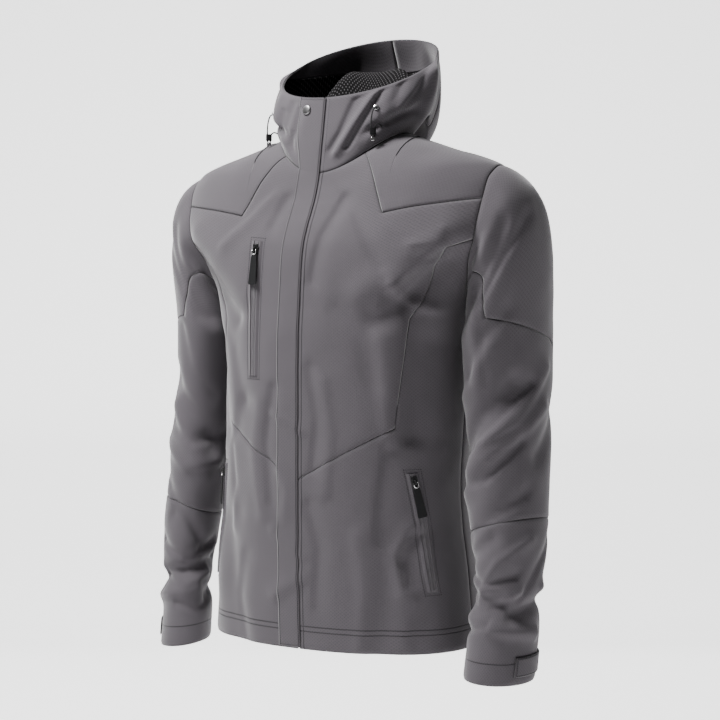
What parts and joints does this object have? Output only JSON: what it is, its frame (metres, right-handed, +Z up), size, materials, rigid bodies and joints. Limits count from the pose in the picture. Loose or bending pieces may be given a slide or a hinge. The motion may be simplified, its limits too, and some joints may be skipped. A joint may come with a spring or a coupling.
{
  "type": "hooded softshell jacket",
  "caption": "Zipped-up hooded softshell jacket in worn shape, hollow, with a storm flap, zip pockets, cuff tabs and the hood folded down behind the collar.",
  "frame": {"origin": "middle of the wearer's neck, level with the top of the shoulder seams, where the shoulders hold the jacket up", "axes": "+Z up, -Y to the front of the jacket, +X to the wearer's left"},
  "size_m": [0.6224, 0.3104, 0.9128],
  "materials": {
    "softshell": "matte woven face with a fine texture",
    "lining": "matte perforated mesh",
    "zip": "coated zip tape and moulded teeth",
    "pull": "soft moulded, satin",
    "plastic": "satin moulded",
    "metal": "dark plated, slightly worn",
    "cord": "braided elastic cord"
  },
  "bodies": {
    "root": {"front_lower_left": "softshell", "front_lower_right": "softshell", "front_chest_left": "softshell", "front_chest_right": "softshell", "yoke_left": "softshell", "yoke_right": "softshell", "back": "softshell", "sleeve_cap_left": "softshell", "sleeve_cap_right": "softshell", "sleeve_mid_left": "softshell", "sleeve_mid_right": "softshell", "sleeve_forearm_left": "softshell", "sleeve_forearm_right": "softshell", "cuff_tab_left": "softshell", "cuff_tab_right": "softshell", "hood_side_left": "softshell", "hood_side_right": "softshell", "hood_middle": "softshell", "hood_facing_left": "softshell", "hood_facing_right": "softshell", "hood_lining": "lining", "front_flap": "softshell", "front_zip": "zip", "snap_cap": "metal", "chest_zip": "zip", "chest_slider": "plastic", "hand_zip_left": "zip", "hand_slider_left": "plastic", "hand_zip_right": "zip", "hand_slider_right": "plastic", "cord_left": "cord", "cord_return_left": "cord", "cord_lock_left": "plastic", "cord_end_left": "metal", "eyelet_left": "metal", "cord_right": "cord", "cord_return_right": "cord", "cord_lock_right": "plastic", "cord_end_right": "metal", "eyelet_right": "metal"},
    "pull_chest": {"chest_pull": "pull"},
    "pull_hand_left": {"hand_pull_left": "pull"},
    "pull_hand_right": {"hand_pull_right": "pull"}
  },
  "joints": [
    {"name": "chest_pull_hinge", "type": "hinge", "parent": "root", "child": "pull_chest", "pos_m": [-0.07581, -0.13492, -0.16531], "axis": [-0.9933, 0.1148, -0.0118], "range_deg": [0, 150]},
    {"name": "hand_pull_left_hinge", "type": "hinge", "parent": "root", "child": "pull_hand_left", "pos_m": [0.15909, -0.09352, -0.48568], "axis": [-0.6435, -0.7356, -0.2117], "range_deg": [0, 150]},
    {"name": "hand_pull_right_hinge", "type": "hinge", "parent": "root", "child": "pull_hand_right", "pos_m": [-0.15909, -0.09352, -0.48568], "axis": [-0.6435, 0.7356, 0.2117], "range_deg": [0, 150]}
  ]
}
